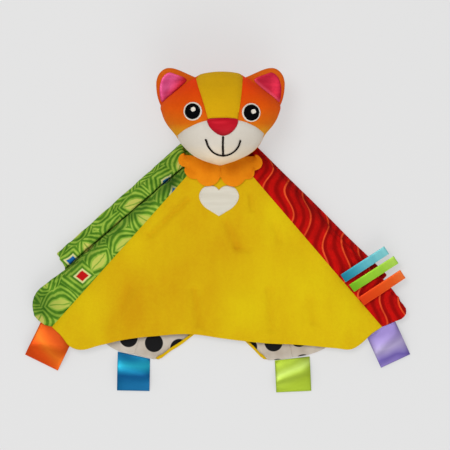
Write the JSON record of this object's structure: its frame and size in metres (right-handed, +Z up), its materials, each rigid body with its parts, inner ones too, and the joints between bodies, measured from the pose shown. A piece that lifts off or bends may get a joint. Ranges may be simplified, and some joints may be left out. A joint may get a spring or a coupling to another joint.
{
  "type": "comfort blanket lovey",
  "caption": "Small four-sided comfort blanket with a stuffed cat's head at its centre, satin ribbon loops at its corners and along one seam.",
  "frame": {"origin": "centre of the footprint at the table the toy lies on", "axes": "+X across the blanket, to the viewer's right; +Y from the blanket's hem to the top of the head; +Z up from the table, out of the face"},
  "size_m": [0.366, 0.308, 0.0846],
  "materials": {
    "yellow_velour": "short soft pile",
    "orange_velour": "short soft pile",
    "cream_velour": "short soft pile",
    "orange_felt": "soft felt",
    "green_print": "printed plain weave",
    "red_print": "printed plain weave",
    "dotted_lining": "white plain weave with black dots",
    "stuffing": "loose polyester fibre",
    "crimson_satin": "satin",
    "pink_satin": "satin",
    "white_satin": "woven label satin",
    "brown_thread": "embroidery thread",
    "white_thread": "embroidery thread",
    "black_thread": "embroidery thread",
    "orange_ribbon": "satin ribbon",
    "blue_ribbon": "satin ribbon",
    "lime_ribbon": "satin ribbon",
    "purple_ribbon": "satin ribbon",
    "teal_ribbon": "satin ribbon"
  },
  "bodies": {
    "blanket": {"front_panel": "yellow_velour", "front_lining": "dotted_lining", "right_panel": "red_print", "right_lining": "dotted_lining", "back_panel": "yellow_velour", "back_lining": "dotted_lining", "left_panel": "green_print", "left_lining": "dotted_lining", "collar_left": "orange_felt", "collar_right": "orange_felt", "heart_label": "white_satin"},
    "neck_sleeve": {"neck_sleeve": "yellow_velour"},
    "neck_core": {"neck_stuffing": "stuffing"},
    "head": {"head_stuffing": "stuffing", "muzzle": "cream_velour", "forehead": "yellow_velour", "cheek_left": "orange_velour", "cheek_right": "orange_velour", "head_back_left": "orange_velour", "head_back_right": "orange_velour", "nose": "crimson_satin", "mouth_stitching": "brown_thread", "eye_left_white": "white_thread", "eye_left_pupil": "black_thread", "eye_left_glint": "white_thread", "eye_right_white": "white_thread", "eye_right_pupil": "black_thread", "eye_right_glint": "white_thread"},
    "ear_left": {"ear_left": "orange_velour", "ear_left_satin": "pink_satin"},
    "ear_right": {"ear_right": "orange_velour", "ear_right_satin": "crimson_satin"},
    "tag_orange": {"tag_orange": "orange_ribbon"},
    "tag_blue": {"tag_blue": "blue_ribbon"},
    "tag_lime": {"tag_lime": "lime_ribbon"},
    "tag_purple": {"tag_purple": "purple_ribbon"},
    "streamer_teal": {"streamer_teal": "teal_ribbon"},
    "streamer_lime": {"streamer_lime": "lime_ribbon"},
    "streamer_orange": {"streamer_orange": "orange_ribbon"}
  },
  "joints": [
    {"name": "head_tilt", "type": "hinge", "parent": "blanket", "child": "neck_sleeve", "pos_m": [0.00227, 0.07682, 0.0151], "axis": [0, 0, 1], "range_deg": [-10, 10]},
    {"name": "head_turn", "type": "hinge", "parent": "neck_sleeve", "child": "neck_core", "pos_m": [0.00227, 0.07682, 0.0151], "axis": [0, 1, 0], "range_deg": [-10, 10]},
    {"name": "head_nod", "type": "hinge", "parent": "neck_core", "child": "head", "pos_m": [0.00227, 0.07682, 0.0151], "axis": [1, 0, 0], "range_deg": [-30, 5]},
    {"name": "ear_left_flop", "type": "hinge", "parent": "head", "child": "ear_left", "pos_m": [-0.038, 0.1327, 0.0395], "axis": [0.7721, 0.6354, 0], "range_deg": [-15, 28], "stiffness_Nm_per_rad": 0.01},
    {"name": "ear_right_flop", "type": "hinge", "parent": "head", "child": "ear_right", "pos_m": [0.04355, 0.1327, 0.0395], "axis": [0.7721, -0.6354, 0], "range_deg": [-15, 28], "stiffness_Nm_per_rad": 0.01},
    {"name": "tag_orange_lift", "type": "hinge", "parent": "blanket", "child": "tag_orange", "pos_m": [-0.15431, -0.0985, 0.0064], "axis": [-0.7653, 0.6437, 0], "range_deg": [-45, 90], "stiffness_Nm_per_rad": 0.002},
    {"name": "tag_blue_lift", "type": "hinge", "parent": "blanket", "child": "tag_blue", "pos_m": [-0.07945, -0.11843, 0.0014], "axis": [-0.976, 0.2177, 0], "range_deg": [-45, 90], "stiffness_Nm_per_rad": 0.002},
    {"name": "tag_lime_lift", "type": "hinge", "parent": "blanket", "child": "tag_lime", "pos_m": [0.07091, -0.12154, 0.0014], "axis": [-0.9933, -0.1154, 0], "range_deg": [-45, 90], "stiffness_Nm_per_rad": 0.002},
    {"name": "tag_purple_lift", "type": "hinge", "parent": "blanket", "child": "tag_purple", "pos_m": [0.15618, -0.0959, 0.0064], "axis": [-0.8001, -0.5998, 0], "range_deg": [-45, 90], "stiffness_Nm_per_rad": 0.002},
    {"name": "streamer_teal_lift", "type": "hinge", "parent": "blanket", "child": "streamer_teal", "pos_m": [0.12118, -0.04316, 0.01377], "axis": [0.5527, -0.8334, 0], "range_deg": [0, 150], "stiffness_Nm_per_rad": 0.001},
    {"name": "streamer_lime_lift", "type": "hinge", "parent": "blanket", "child": "streamer_lime", "pos_m": [0.1292, -0.05276, 0.01313], "axis": [0.6043, -0.7968, 0], "range_deg": [0, 150], "stiffness_Nm_per_rad": 0.001},
    {"name": "streamer_orange_lift", "type": "hinge", "parent": "blanket", "child": "streamer_orange", "pos_m": [0.13818, -0.06346, 0.01256], "axis": [0.5513, -0.8343, 0], "range_deg": [0, 150], "stiffness_Nm_per_rad": 0.001}
  ]
}
